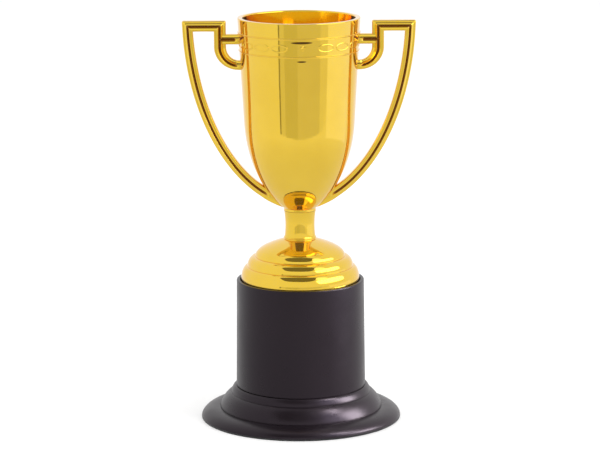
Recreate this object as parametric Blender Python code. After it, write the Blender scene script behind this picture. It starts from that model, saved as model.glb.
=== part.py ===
"""Cup trophy: a gold two-handled cup on a stepped black plinth, clamped together by one tie rod.

+Z is up, the front faces -Y and the handles lie along X. The origin is on the floor under the axis.
Round pieces are turned from an outline of (radius, height) points, and each handle is a flat outline
extruded through its depth, trimmed to the bowl and grooved along the middle of both faces.
"""
import math

import bmesh
import bpy
from mathutils import Matrix, Vector

MM = 0.001
GAP = 0.3 * MM              # clearance between pieces that touch
SEGMENTS = 48               # facets round the large turned pieces
SHARP_ANGLE = 30.0          # degrees between faces that meet in a visible edge

# Whole object
HEIGHT = 127.0 * MM

# Tie rod and its hardware (M4)
ROD_RADIUS = 2.0 * MM
ROD_BOTTOM = 1.5 * MM
ROD_PROUD = 0.8 * MM        # how far the rod stands out of the upper nut
BORE_RADIUS = ROD_RADIUS + GAP
NUT_ACROSS_FLATS = 7.0 * MM
NUT_HEIGHT = 3.2 * MM
WASHER_RADIUS = 4.5 * MM
WASHER_THICKNESS = 0.8 * MM

# Plinth foot: a wide brim with two rounded rings stepping up to the tube
BRIM_RADIUS = 31.55 * MM
LOWER_RING_RADIUS = 25.6 * MM
LOWER_RING_BASE = 3.4 * MM
LOWER_RING_FULLNESS = 1.4
UPPER_RING_RADIUS = 22.0 * MM
UPPER_RING_BASE = 8.1 * MM
UPPER_RING_FULLNESS = 1.5
FOOT_TOP = 10.35 * MM
FOOT_WALL = 2.0 * MM
FOOT_BOSS_RADIUS = 7.0 * MM
FOOT_BOSS_BOTTOM = 6.6 * MM
SPIGOT_HEIGHT = 3.0 * MM

# Plinth tube
TUBE_BASE_RADIUS = 20.4 * MM
TUBE_RIM_RADIUS = 20.04 * MM
TUBE_TOP = 44.32 * MM
TUBE_MOUTH_RADIUS = 18.94 * MM
TUBE_BORE_RADIUS = 17.2 * MM
LEDGE_HEIGHT = 38.2 * MM
EDGE_BREAK = 0.3 * MM

# Support plate inside the tube
PLATE_THICKNESS = 3.0 * MM
PLATE_SPIGOT_DEPTH = 2.0 * MM

# Base pad: a thin sheet under the whole foot
PAD_THICKNESS = 0.5 * MM
PAD_RADIUS = 31.5 * MM

# Gold foot: a dome and two rounded rings over a skirt that drops into the tube
SKIRT_RADIUS = TUBE_MOUTH_RADIUS - GAP
SKIRT_TOP = 44.7 * MM
RING_B_RADIUS = 16.67 * MM
RING_B_TOP = 48.65 * MM
RING_A_RADIUS = 14.14 * MM
RING_A_TOP = 51.76 * MM
DOME_TOP_RADIUS = 5.1 * MM
DOME_TOP = 57.2 * MM
DOME_SLOPE_REACH = (4.81 * MM, -1.44 * MM)   # how the dome leaves the stem: a shallow cone
DOME_SIDE_REACH = 2.39 * MM                  # and how it drops to the first ring: upright
GOLD_WALL = 1.6 * MM
SLEEVE_RADIUS = 4.6 * MM
SLEEVE_SHOULDER = 2.0 * MM   # the flat ring round the sleeve's top, inside the dome

# Stem
STEM_BOTTOM = DOME_TOP + GAP
STEM_TOP = 65.92 * MM
STEM_WAIST_HEIGHT = 61.6 * MM
STEM_WAIST_RADIUS = 4.62 * MM
STEM_CURVE_RADIUS = 27.0 * MM
STEM_LIP_RADIUS = 5.1 * MM
STEM_LIP_HEIGHT = 0.25 * MM
STEM_CURVE_START = STEM_BOTTOM + 0.7 * MM

# Bowl: an elliptical cup running tangentially into a slightly flared cone
BOWL_BOTTOM = 66.22 * MM
BOWL_NECK_RADIUS = 5.04 * MM
BOWL_CENTRE = (-6.8 * MM, 96.65 * MM)
BOWL_SEMI_AXES = (24.16 * MM, 33.99 * MM)
BOWL_FLARE = 0.0552
RIM_RADIUS = 19.11 * MM
BOWL_WALL = 1.6 * MM
BOWL_FLOOR = 70.0 * MM
LIP_ROUND = 0.5 * MM
RIB_HEIGHTS = (116.94 * MM, 122.51 * MM)
RIB_HALF_WIDTH = 0.5 * MM
RIB_STAND = 0.35 * MM

# Handles, given for the side at +X
HANDLE_DEPTH = 3.8 * MM
TOP_BAR_TOP = 126.05 * MM
TOP_BAR_BOTTOM = 122.93 * MM
TOP_CORNER = 0.5 * MM        # chamfer on the two upper corners
UPRIGHT_INNER_X = 22.55 * MM
UPRIGHT_OUTER_X = 26.4 * MM
LUG_TOP = 121.85 * MM
LUG_BOTTOM = 118.65 * MM
RING_CENTRE = (18.6 * MM, 117.9 * MM)
RING_OUTER_DROP = 7.25 * MM
RING_INNER_DROP = 4.22 * MM
LEG_OUTER_CENTRE = (-3.22 * MM, 127.9 * MM)
LEG_OUTER_SEMI_AXES = (39.54 * MM, 62.07 * MM)
LEG_INNER_CENTRE = (-1.55 * MM, 129.25 * MM)
LEG_INNER_SEMI_AXES = (34.46 * MM, 59.38 * MM)
LEG_TIP_X = 6.6 * MM
LEG_TIP_INSIDE = 1.5 * MM    # how far the untrimmed ends run into the bowl
ARM_INSIDE = 2.0 * MM
LEG_INNER_END_X = LEG_TIP_X + 4.5 * MM
GROOVE_WIDTH = 0.9 * MM
GROOVE_DEPTH = 0.5 * MM
GROOVE_LEG_END = 71.6 * MM
GROOVE_SETBACK = 0.8 * MM   # how far a groove stops short of the bowl
PEG_RADIUS = 0.9 * MM
PEG_DEPTH = 0.6 * MM
PEG_ROOT = 1.2 * MM          # how far a peg runs back into its handle
TOOL_PAST = 1.0 * MM         # how far a cutting tool runs past the face it cuts
AXIS_CLEARANCE = 0.5 * MM    # inner radius of the tool that trims the handles to the bowl
LEG_PEG_HEIGHT = 73.0 * MM

GOLD = (0.83, 0.56, 0.07, 1.0)
BLACK = (0.022, 0.018, 0.021, 1.0)
STEEL = (0.62, 0.62, 0.64, 1.0)
PAD_BLACK = (0.03, 0.03, 0.03, 1.0)


def clear_scene():
    for scene_object in list(bpy.data.objects):
        bpy.data.objects.remove(scene_object, do_unlink=True)


def make_material(name, colour, roughness, metallic):
    material = bpy.data.materials.new(name)
    material.use_nodes = True
    shader = material.node_tree.nodes["Principled BSDF"]
    shader.inputs["Base Color"].default_value = colour
    shader.inputs["Roughness"].default_value = roughness
    shader.inputs["Metallic"].default_value = metallic
    material.diffuse_color = colour
    return material


def add_object(name, mesh, material=None):
    new_object = bpy.data.objects.new(name, mesh)
    bpy.context.collection.objects.link(new_object)
    if material is not None:
        mesh.materials.append(material)
    return new_object


def mesh_from_bmesh(name, work):
    bmesh.ops.recalc_face_normals(work, faces=work.faces)
    mesh = bpy.data.meshes.new(name)
    work.to_mesh(mesh)
    work.free()
    mesh.shade_smooth()
    mesh.set_sharp_from_angle(angle=math.radians(SHARP_ANGLE))
    return mesh


def ellipse_arc(centre, semi_axes, start, end, steps):
    """Points from angle start to angle end, in degrees, both included."""
    points = []
    for step in range(steps + 1):
        angle = math.radians(start + (end - start) * step / steps)
        points.append((centre[0] + semi_axes[0] * math.cos(angle),
                       centre[1] + semi_axes[1] * math.sin(angle)))
    return points


def ellipse_x(centre, semi_axes, height):
    """The outer x (or radius) of an ellipse at a height."""
    rise = (height - centre[1]) / semi_axes[1]
    return centre[0] + semi_axes[0] * math.sqrt(1.0 - rise * rise)


def shoulder(inner_radius, top, outer_radius, base, steps, fullness=2.0, end=0.0):
    """A rounded shoulder from (inner_radius, top) down to (outer_radius, base), top to bottom.

    A fullness of 2 is a quarter ellipse and 1 a straight slope; end is the angle it stops at.
    """
    points = []
    for step in range(steps + 1):
        angle = math.radians(90.0 + (end - 90.0) * step / steps)
        across = max(0.0, math.cos(angle)) ** (2.0 / fullness)
        rise = max(0.0, math.sin(angle)) ** (2.0 / fullness)
        points.append((inner_radius + (outer_radius - inner_radius) * across, base + (top - base) * rise))
    return points


def bezier(start, start_handle, end_handle, end, steps):
    points = []
    for step in range(steps + 1):
        t = step / steps
        weights = ((1 - t) ** 3, 3 * t * (1 - t) ** 2, 3 * t * t * (1 - t), t ** 3)
        corners = (start, start_handle, end_handle, end)
        points.append(tuple(sum(w * corner[i] for w, corner in zip(weights, corners)) for i in (0, 1)))
    return points


def turned_mesh(name, outline, segments=SEGMENTS):
    """A ring of one closed (radius, height) outline, spun about the Z axis."""
    work = bmesh.new()
    verts = [work.verts.new((radius, 0.0, height)) for radius, height in outline]
    edges = [work.edges.new((verts[i - 1], verts[i])) for i in range(len(verts))]
    bmesh.ops.spin(work, geom=verts + edges, cent=(0, 0, 0), axis=(0, 0, 1), angle=math.tau,
                   steps=segments, use_merge=True, use_duplicate=False)
    bmesh.ops.remove_doubles(work, verts=work.verts, dist=1e-6)
    return mesh_from_bmesh(name, work)


def bowl_radius(height):
    """Outer radius of the bowl's plain wall."""
    flare_start = BOWL_CENTRE[1] - BOWL_SEMI_AXES[1] * math.sin(flare_angle())
    if height >= flare_start:
        return RIM_RADIUS - BOWL_FLARE * (HEIGHT - height)
    return max(BOWL_NECK_RADIUS, ellipse_x(BOWL_CENTRE, BOWL_SEMI_AXES, height))


def flare_angle():
    """Angle on the bowl's ellipse where its slope equals the cone's."""
    return math.atan(BOWL_FLARE * BOWL_SEMI_AXES[1] / BOWL_SEMI_AXES[0])


def bowl_curve(offset, start_radius, steps):
    """The curved part of the bowl's wall, moved outwards by offset, bottom to top."""
    semi_axes = (BOWL_SEMI_AXES[0] + offset, BOWL_SEMI_AXES[1] + offset)
    start = -math.degrees(math.acos((start_radius - BOWL_CENTRE[0]) / semi_axes[0]))
    return ellipse_arc(BOWL_CENTRE, semi_axes, start, -math.degrees(flare_angle()), steps)


def rib_outline(height):
    """A low rounded rib on the bowl's cone, bottom to top."""
    points = []
    for share, stand in ((-1.0, 0.0), (-0.6, 0.8), (0.0, 1.0), (0.6, 0.8), (1.0, 0.0)):
        level = height + share * RIB_HALF_WIDTH
        points.append((bowl_radius(level) + stand * RIB_STAND, level))
    return points


def bowl_outline():
    outline = [(BORE_RADIUS, BOWL_BOTTOM), (BOWL_NECK_RADIUS, BOWL_BOTTOM)]
    outline += bowl_curve(0.0, BOWL_NECK_RADIUS, 10)
    for height in RIB_HEIGHTS:
        outline += rib_outline(height)
    outline.append((bowl_radius(HEIGHT - LIP_ROUND), HEIGHT - LIP_ROUND))
    outline.append((RIM_RADIUS - LIP_ROUND, HEIGHT))
    outline.append((RIM_RADIUS - BOWL_WALL + LIP_ROUND, HEIGHT))
    outline.append((RIM_RADIUS - BOWL_WALL, HEIGHT - LIP_ROUND))
    floor_rise = (BOWL_FLOOR - BOWL_CENTRE[1]) / (BOWL_SEMI_AXES[1] - BOWL_WALL)
    floor_radius = BOWL_CENTRE[0] + (BOWL_SEMI_AXES[0] - BOWL_WALL) * math.sqrt(1.0 - floor_rise ** 2)
    outline += reversed(bowl_curve(-BOWL_WALL, floor_radius, 8))
    outline.append((BORE_RADIUS, BOWL_FLOOR))
    return outline


def lower_peg_frame():
    """Point on the bowl's wall for the leg's peg, and the wall's outward direction there."""
    radius = bowl_radius(LEG_PEG_HEIGHT)
    normal = Vector(((radius - BOWL_CENTRE[0]) / BOWL_SEMI_AXES[0] ** 2, 0.0,
                     (LEG_PEG_HEIGHT - BOWL_CENTRE[1]) / BOWL_SEMI_AXES[1] ** 2))
    return Vector((radius, 0.0, LEG_PEG_HEIGHT)), normal.normalized()


def peg_frames(side):
    """Where each handle peg enters the bowl, as (point on the wall, outward direction)."""
    ring_height = RING_CENTRE[1] - ring_middle()[1]
    lug_height = (LUG_TOP + LUG_BOTTOM) / 2
    frames = [(Vector((bowl_radius(height), 0.0, height)), Vector((1.0, 0.0, 0.0)))
              for height in (lug_height, ring_height)]
    frames.append(lower_peg_frame())
    return [(Vector((side * point.x, 0.0, point.z)), Vector((side * out.x, 0.0, out.z)))
            for point, out in frames]


def ring_middle():
    """Semi-axes of the quarter ring's middle line."""
    return (UPRIGHT_INNER_X + UPRIGHT_OUTER_X) / 2 - RING_CENTRE[0], (RING_OUTER_DROP + RING_INNER_DROP) / 2


def pin_object(name, point, direction, radius, inward, outward):
    """A round pin along direction, from inward below the point to outward above it."""
    work = bmesh.new()
    length = inward + outward
    turn = direction.to_track_quat("Z", "Y").to_matrix().to_4x4()
    place = Matrix.Translation(point + direction * (outward - length / 2)) @ turn
    bmesh.ops.create_cone(work, cap_ends=True, segments=12, radius1=radius, radius2=radius,
                          depth=length, matrix=place)
    return add_object(name, mesh_from_bmesh(name, work))


def combine(target, operation, tool):
    """Cut the tool from the target, or join it on, and keep the tool only as a guide."""
    tool.display_type = "WIRE"
    tool.hide_render = True
    modifier = target.modifiers.new(tool.name, "BOOLEAN")
    modifier.operation = operation
    modifier.solver = "EXACT"
    modifier.object = tool


def build_bowl(gold):
    bowl = add_object("cup_bowl", turned_mesh("cup_bowl", bowl_outline()), gold)
    for side, side_name in ((1, "right"), (-1, "left")):
        for number, (point, out) in enumerate(peg_frames(side)):
            socket = pin_object(f"socket_{side_name}_{number}", point, out, PEG_RADIUS + GAP,
                                PEG_DEPTH + GAP, TOOL_PAST)
            combine(bowl, "DIFFERENCE", socket)
    return bowl


def handle_outline():
    """The handle at +X as one closed (x, z) outline, its three ends running into the bowl."""
    inside_bowl = RING_CENTRE[0] - ARM_INSIDE
    ring_outer = (UPRIGHT_OUTER_X - RING_CENTRE[0], RING_OUTER_DROP)
    ring_inner = (UPRIGHT_INNER_X - RING_CENTRE[0], RING_INNER_DROP)
    outline = [(inside_bowl, LUG_TOP), (UPRIGHT_INNER_X, LUG_TOP)]
    outline += [(UPRIGHT_INNER_X, TOP_BAR_TOP - TOP_CORNER), (UPRIGHT_INNER_X + TOP_CORNER, TOP_BAR_TOP)]
    outer_corner_x = ellipse_x(LEG_OUTER_CENTRE, LEG_OUTER_SEMI_AXES, TOP_BAR_TOP)
    outline.append((outer_corner_x - TOP_CORNER, TOP_BAR_TOP))
    outline += leg_edge(LEG_OUTER_CENTRE, LEG_OUTER_SEMI_AXES, TOP_BAR_TOP - TOP_CORNER, LEG_TIP_X, 16)
    outline.append((LEG_TIP_X, bowl_tip_height() + LEG_TIP_INSIDE))
    inner_edge = leg_edge(LEG_INNER_CENTRE, LEG_INNER_SEMI_AXES, TOP_BAR_BOTTOM, LEG_INNER_END_X, 14)
    outline += reversed(inner_edge)
    outline += [(UPRIGHT_OUTER_X, TOP_BAR_BOTTOM)]
    outline += ellipse_arc(RING_CENTRE, ring_outer, 0.0, -90.0, 8)
    outline += [(inside_bowl, RING_CENTRE[1] - RING_OUTER_DROP)]
    outline += [(inside_bowl, RING_CENTRE[1] - RING_INNER_DROP)]
    outline += ellipse_arc(RING_CENTRE, ring_inner, -90.0, 0.0, 6)
    outline += [(UPRIGHT_INNER_X, LUG_BOTTOM), (inside_bowl, LUG_BOTTOM)]
    return outline


def leg_edge(centre, semi_axes, top, end_x, steps):
    """One edge of the leg, from a height down to an x."""
    start = math.degrees(math.asin((top - centre[1]) / semi_axes[1]))
    end = -math.degrees(math.acos((end_x - centre[0]) / semi_axes[0]))
    return ellipse_arc(centre, semi_axes, start, end, steps)


def bowl_tip_height():
    """Height of the bowl's underside above the leg's tip."""
    share = (LEG_TIP_X - BOWL_CENTRE[0]) / BOWL_SEMI_AXES[0]
    return BOWL_CENTRE[1] - BOWL_SEMI_AXES[1] * math.sqrt(1.0 - share * share)


def leg_middle():
    centre = ((LEG_OUTER_CENTRE[0] + LEG_INNER_CENTRE[0]) / 2, (LEG_OUTER_CENTRE[1] + LEG_INNER_CENTRE[1]) / 2)
    semi_axes = ((LEG_OUTER_SEMI_AXES[0] + LEG_INNER_SEMI_AXES[0]) / 2,
                 (LEG_OUTER_SEMI_AXES[1] + LEG_INNER_SEMI_AXES[1]) / 2)
    return centre, semi_axes


def groove_paths():
    """Middle lines of the grooves: one round the whole handle, and one along the lug bar."""
    centre, semi_axes = leg_middle()
    bar_middle = (TOP_BAR_TOP + TOP_BAR_BOTTOM) / 2
    upright_middle = (UPRIGHT_INNER_X + UPRIGHT_OUTER_X) / 2
    lug_middle = (LUG_TOP + LUG_BOTTOM) / 2
    main = ellipse_arc(RING_CENTRE, ring_middle(), -82.0, 0.0, 8)
    main.append((upright_middle, bar_middle))
    end_x = ellipse_x(centre, semi_axes, GROOVE_LEG_END)
    main += leg_edge(centre, semi_axes, bar_middle, end_x, 16)
    lug = [(bowl_radius(lug_middle) + GROOVE_SETBACK, lug_middle), (upright_middle, lug_middle)]
    return main, lug


def ribbon(path, width):
    """A closed (x, z) outline of even width along an open path, mitred at its corners."""
    points = [Vector(point) for point in path]
    sides = ([], [])
    for number, point in enumerate(points):
        before = (point - points[number - 1]).normalized() if number else None
        after = (points[number + 1] - point).normalized() if number + 1 < len(points) else None
        before = before or after
        after = after or before
        along = (before + after).normalized()
        normal = Vector((-along.y, along.x))
        reach = width / 2 / max(0.3, along.dot(before))
        sides[0].append(point + normal * reach)
        sides[1].append(point - normal * reach)
    return [tuple(point) for point in sides[0] + sides[1][::-1]]


def prism_mesh(name, outline, side, near, far):
    """An (x, z) outline on one side of the object, extruded from y = near to y = far."""
    work = bmesh.new()
    verts = [work.verts.new((side * x, near, z)) for x, z in outline]
    face = work.faces.new(verts)
    extruded = bmesh.ops.extrude_face_region(work, geom=[face])
    moved = [item for item in extruded["geom"] if isinstance(item, bmesh.types.BMVert)]
    bmesh.ops.translate(work, verts=moved, vec=(0.0, far - near, 0.0))
    return mesh_from_bmesh(name, work)


def build_handle(name, side, gold):
    half = HANDLE_DEPTH / 2
    handle = add_object(name, prism_mesh(name, handle_outline(), side, -half, half), gold)
    below = BOWL_BOTTOM - TOOL_PAST
    clearance_outline = [(AXIS_CLEARANCE, below), (BOWL_NECK_RADIUS + GAP, below)]
    clearance_outline += bowl_curve(GAP, BOWL_NECK_RADIUS + GAP, 10)
    clearance_outline += [(bowl_radius(HEIGHT) + GAP, HEIGHT), (AXIS_CLEARANCE, HEIGHT)]
    clearance = add_object(f"{name}_clearance", turned_mesh(f"{name}_clearance", clearance_outline))
    combine(handle, "DIFFERENCE", clearance)
    for path_number, path in enumerate(groove_paths()):
        for face in (-1, 1):
            groove_name = f"{name}_groove_{path_number}_{'front' if face < 0 else 'back'}"
            mesh = prism_mesh(groove_name, ribbon(path, GROOVE_WIDTH), side,
                              face * (half - GROOVE_DEPTH), face * (half + TOOL_PAST))
            combine(handle, "DIFFERENCE", add_object(groove_name, mesh))
    for number, (point, out) in enumerate(peg_frames(side)):
        peg = pin_object(f"{name}_peg_{number}", point, out, PEG_RADIUS, PEG_DEPTH, PEG_ROOT)
        combine(handle, "UNION", peg)
    return handle


def build_stem(gold):
    """A waisted sleeve with a thin lip at its lower end."""
    outline = [(BORE_RADIUS, STEM_BOTTOM), (STEM_LIP_RADIUS, STEM_BOTTOM)]
    outline.append((STEM_LIP_RADIUS, STEM_BOTTOM + STEM_LIP_HEIGHT))
    steps = 8
    for step in range(steps + 1):
        level = STEM_CURVE_START + (STEM_TOP - STEM_CURVE_START) * step / steps
        sag = STEM_CURVE_RADIUS - math.sqrt(STEM_CURVE_RADIUS ** 2 - (level - STEM_WAIST_HEIGHT) ** 2)
        outline.append((STEM_WAIST_RADIUS + sag, level))
    outline.append((BORE_RADIUS, STEM_TOP))
    return add_object("stem", turned_mesh("stem", outline, 32), gold)


def build_cup_foot(gold):
    """A dome over two rounded rings, hollow underneath, with a sleeve round the rod."""
    skirt_bottom = LEDGE_HEIGHT + GAP + PLATE_THICKNESS + GAP
    outline = [(BORE_RADIUS, DOME_TOP)]
    slope_handle = (DOME_TOP_RADIUS + DOME_SLOPE_REACH[0], DOME_TOP + DOME_SLOPE_REACH[1])
    side_handle = (RING_A_RADIUS, RING_A_TOP + DOME_SIDE_REACH)
    outline += bezier((DOME_TOP_RADIUS, DOME_TOP), slope_handle, side_handle, (RING_A_RADIUS, RING_A_TOP), 8)
    outline += shoulder(RING_A_RADIUS, RING_A_TOP, RING_B_RADIUS, RING_B_TOP, 4)[1:]
    outline += shoulder(RING_B_RADIUS, RING_B_TOP, SKIRT_RADIUS, SKIRT_TOP, 4)[1:]
    outline += [(SKIRT_RADIUS, skirt_bottom), (SKIRT_RADIUS - GOLD_WALL, skirt_bottom)]
    outline += [(SKIRT_RADIUS - GOLD_WALL, SKIRT_TOP)]
    outline += [(RING_B_RADIUS - GOLD_WALL, RING_B_TOP - GOLD_WALL)]
    outline += [(RING_A_RADIUS - GOLD_WALL, RING_A_TOP - GOLD_WALL)]
    outline += [(SLEEVE_RADIUS + SLEEVE_SHOULDER, DOME_TOP - 2 * GOLD_WALL)]
    outline += [(SLEEVE_RADIUS, DOME_TOP - 2 * GOLD_WALL), (SLEEVE_RADIUS, skirt_bottom)]
    outline += [(BORE_RADIUS, skirt_bottom)]
    return add_object("cup_foot", turned_mesh("cup_foot", outline), gold)


def build_top_plate(black):
    """The disc on the tube's ledge that carries the gold foot."""
    bottom = LEDGE_HEIGHT + GAP
    spigot_radius = TUBE_BORE_RADIUS - GAP
    outline = [(BORE_RADIUS, bottom + PLATE_THICKNESS), (BORE_RADIUS, bottom - PLATE_SPIGOT_DEPTH)]
    outline += [(spigot_radius, bottom - PLATE_SPIGOT_DEPTH), (spigot_radius, bottom)]
    outline += [(SKIRT_RADIUS, bottom), (SKIRT_RADIUS, bottom + PLATE_THICKNESS)]
    return add_object("top_plate", turned_mesh("top_plate", outline), black)


def build_plinth_tube(black):
    bottom = FOOT_TOP + GAP
    outline = [(TUBE_BORE_RADIUS, bottom), (TUBE_BASE_RADIUS, bottom)]
    outline += [(TUBE_RIM_RADIUS, TUBE_TOP - EDGE_BREAK), (TUBE_RIM_RADIUS - EDGE_BREAK, TUBE_TOP)]
    outline += [(TUBE_MOUTH_RADIUS, TUBE_TOP), (TUBE_MOUTH_RADIUS, LEDGE_HEIGHT)]
    outline += [(TUBE_BORE_RADIUS, LEDGE_HEIGHT)]
    return add_object("plinth_tube", turned_mesh("plinth_tube", outline), black)


def build_plinth_foot(black):
    """The stepped flange, hollow underneath, with a spigot for the tube and a boss for the nut."""
    spigot_radius = TUBE_BORE_RADIUS - GAP
    ceiling = UPPER_RING_BASE
    bottom = PAD_THICKNESS + GAP
    brim_end = math.degrees(math.asin(bottom / LOWER_RING_BASE))
    outline = [(BORE_RADIUS, FOOT_TOP + SPIGOT_HEIGHT), (spigot_radius, FOOT_TOP + SPIGOT_HEIGHT)]
    outline += [(spigot_radius, FOOT_TOP)]
    outline += shoulder(TUBE_BASE_RADIUS, FOOT_TOP, UPPER_RING_RADIUS, UPPER_RING_BASE, 4, UPPER_RING_FULLNESS)
    outline += shoulder(UPPER_RING_RADIUS, UPPER_RING_BASE, LOWER_RING_RADIUS, LOWER_RING_BASE, 5,
                        LOWER_RING_FULLNESS)[1:]
    outline += shoulder(LOWER_RING_RADIUS, LOWER_RING_BASE, BRIM_RADIUS, 0.0, 6, end=brim_end)[1:]
    outline += [(LOWER_RING_RADIUS + FOOT_WALL / 2, bottom)]
    outline += [(LOWER_RING_RADIUS - FOOT_WALL, LOWER_RING_BASE)]
    outline += [(UPPER_RING_RADIUS - FOOT_WALL, ceiling - FOOT_WALL / 2)]
    outline += [(TUBE_BASE_RADIUS - FOOT_WALL, ceiling), (FOOT_BOSS_RADIUS, ceiling)]
    outline += [(FOOT_BOSS_RADIUS, FOOT_BOSS_BOTTOM), (BORE_RADIUS, FOOT_BOSS_BOTTOM)]
    return add_object("plinth_foot", turned_mesh("plinth_foot", outline), black)


def build_base_pad(pad_black):
    work = bmesh.new()
    bmesh.ops.create_cone(work, cap_ends=True, segments=SEGMENTS, radius1=PAD_RADIUS, radius2=PAD_RADIUS,
                          depth=PAD_THICKNESS, matrix=Matrix.Translation((0, 0, PAD_THICKNESS / 2)))
    return add_object("base_pad", mesh_from_bmesh("base_pad", work), pad_black)


def build_washer(name, bottom, steel):
    outline = [(BORE_RADIUS, 0.0), (WASHER_RADIUS, 0.0)]
    outline += [(WASHER_RADIUS, WASHER_THICKNESS), (BORE_RADIUS, WASHER_THICKNESS)]
    washer = add_object(name, turned_mesh(name, outline, 24), steel)
    washer.location.z = bottom
    return washer


def build_nut(name, bottom, steel):
    """A hexagonal nut with a plain round bore."""
    work = bmesh.new()
    corner_radius = NUT_ACROSS_FLATS / math.sqrt(3.0)
    outer = [(corner_radius * math.cos(math.tau * i / 6), corner_radius * math.sin(math.tau * i / 6))
             for i in range(6)]
    inner = [(BORE_RADIUS * math.cos(math.tau * i / 24), BORE_RADIUS * math.sin(math.tau * i / 24))
             for i in range(24)]
    rims = []
    for level in (0.0, NUT_HEIGHT):
        rings = []
        for loop in (outer, inner):
            verts = [work.verts.new((x, y, level)) for x, y in loop]
            rings.append([work.edges.new((verts[i - 1], verts[i])) for i in range(len(verts))])
        bmesh.ops.bridge_loops(work, edges=rings[0] + rings[1])
        rims.append(rings)
    for lower, upper in zip(*rims):
        bmesh.ops.bridge_loops(work, edges=lower + upper)
    nut = add_object(name, mesh_from_bmesh(name, work), steel)
    nut.location.z = bottom
    return nut


def build_tie_rod(top, steel):
    chamfer = 0.4 * MM
    work = bmesh.new()
    length = top - ROD_BOTTOM
    bmesh.ops.create_cone(work, cap_ends=True, segments=16, radius1=ROD_RADIUS, radius2=ROD_RADIUS,
                          depth=length, matrix=Matrix.Translation((0, 0, ROD_BOTTOM + length / 2)))
    ends = [edge for edge in work.edges if abs(edge.verts[0].co.z - edge.verts[1].co.z) < 1e-6]
    bmesh.ops.bevel(work, geom=ends, offset=chamfer, segments=1, affect="EDGES", clamp_overlap=True)
    return add_object("tie_rod", mesh_from_bmesh("tie_rod", work), steel)


def build_trophy():
    clear_scene()
    gold = make_material("gold_plating", GOLD, 0.15, 1.0)
    black = make_material("black_plastic", BLACK, 0.4, 0.0)
    steel = make_material("zinc_steel", STEEL, 0.3, 1.0)
    pad_black = make_material("pad_foam", PAD_BLACK, 0.9, 0.0)

    build_bowl(gold)
    build_handle("handle_right", 1, gold)
    build_handle("handle_left", -1, gold)
    build_stem(gold)
    build_cup_foot(gold)
    build_top_plate(black)
    build_plinth_tube(black)
    build_plinth_foot(black)
    build_base_pad(pad_black)

    bowl_washer_bottom = BOWL_FLOOR + GAP
    bowl_nut_bottom = bowl_washer_bottom + WASHER_THICKNESS + GAP
    build_washer("bowl_washer", bowl_washer_bottom, steel)
    build_nut("bowl_nut", bowl_nut_bottom, steel)
    base_washer_bottom = FOOT_BOSS_BOTTOM - GAP - WASHER_THICKNESS
    build_washer("base_washer", base_washer_bottom, steel)
    build_nut("base_nut", base_washer_bottom - GAP - NUT_HEIGHT, steel)
    build_tie_rod(bowl_nut_bottom + NUT_HEIGHT + ROD_PROUD, steel)


build_trophy()
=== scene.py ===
import math

import bmesh
import bpy
import numpy as np
from mathutils import Matrix, Vector


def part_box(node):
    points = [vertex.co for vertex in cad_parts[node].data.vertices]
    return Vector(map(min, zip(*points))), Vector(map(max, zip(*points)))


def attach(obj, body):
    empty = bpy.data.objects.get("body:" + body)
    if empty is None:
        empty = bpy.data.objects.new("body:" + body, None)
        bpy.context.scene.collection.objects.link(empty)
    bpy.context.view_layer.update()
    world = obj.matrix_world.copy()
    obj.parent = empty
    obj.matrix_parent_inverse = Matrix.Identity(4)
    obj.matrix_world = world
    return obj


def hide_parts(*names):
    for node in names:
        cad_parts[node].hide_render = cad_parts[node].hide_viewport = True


# A gold-plated two-handled cup on a black moulded plinth. Turned pieces are spun from an outline of
# (radius, height) points, the handles are swept between their two edges, and every finish is procedural.

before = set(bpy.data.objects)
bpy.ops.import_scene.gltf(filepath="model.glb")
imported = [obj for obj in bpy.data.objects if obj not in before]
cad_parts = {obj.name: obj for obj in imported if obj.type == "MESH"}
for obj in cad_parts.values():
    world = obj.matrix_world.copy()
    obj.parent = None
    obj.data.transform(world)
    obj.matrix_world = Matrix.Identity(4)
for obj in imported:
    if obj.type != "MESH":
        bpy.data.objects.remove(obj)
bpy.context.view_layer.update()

MM = 0.001
TROPHY_MIDDLE = 80 * MM     # the height that the studio cards face
TURNS = 256                 # facets round each turned piece
HANDLE_SHARP = 38.0         # degrees past which an edge of a handle is drawn sharp


# ---------------------------------------------------------------- places read from the frame

def low(node):
    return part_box(node)[0]


def high(node):
    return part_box(node)[1]


HEIGHT = high("cup_bowl")[2]
BOWL_BOTTOM = low("cup_bowl")[2]
STEM_BOTTOM = low("stem")[2]
DOME_TOP = high("cup_foot")[2]
SKIRT_BOTTOM = low("cup_foot")[2]
SKIRT_RADIUS = high("cup_foot")[0]
TUBE_TOP = high("plinth_tube")[2]
TUBE_BOTTOM = low("plinth_tube")[2]
TUBE_BASE_RADIUS = high("plinth_tube")[0]
PAD_TOP = high("base_pad")[2]
PAD_RADIUS = high("base_pad")[0]
HANDLE_HALF_DEPTH = high("handle_right")[1]
TOP_BAR_TOP = high("handle_right")[2]
FLANGE_TOP = high("plinth_foot")[2]
BORE_RADIUS = 2.3 * MM
GOLD_WALL = 1.6 * MM         # of the bowl and the foot
SPIGOT_RADIUS = 16.9 * MM    # of the flange and the top plate, inside the tube

# Bowl
NECK_RADIUS = 5.04 * MM
BOWL_CENTRE = (-6.8 * MM, 96.65 * MM)
BOWL_SEMI_AXES = (24.16 * MM, 33.99 * MM)
FLARE = 0.0552
RIM_RADIUS = 19.11 * MM
BOWL_FLOOR = 70.0 * MM
RIBS = (116.94 * MM, 122.51 * MM)

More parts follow.
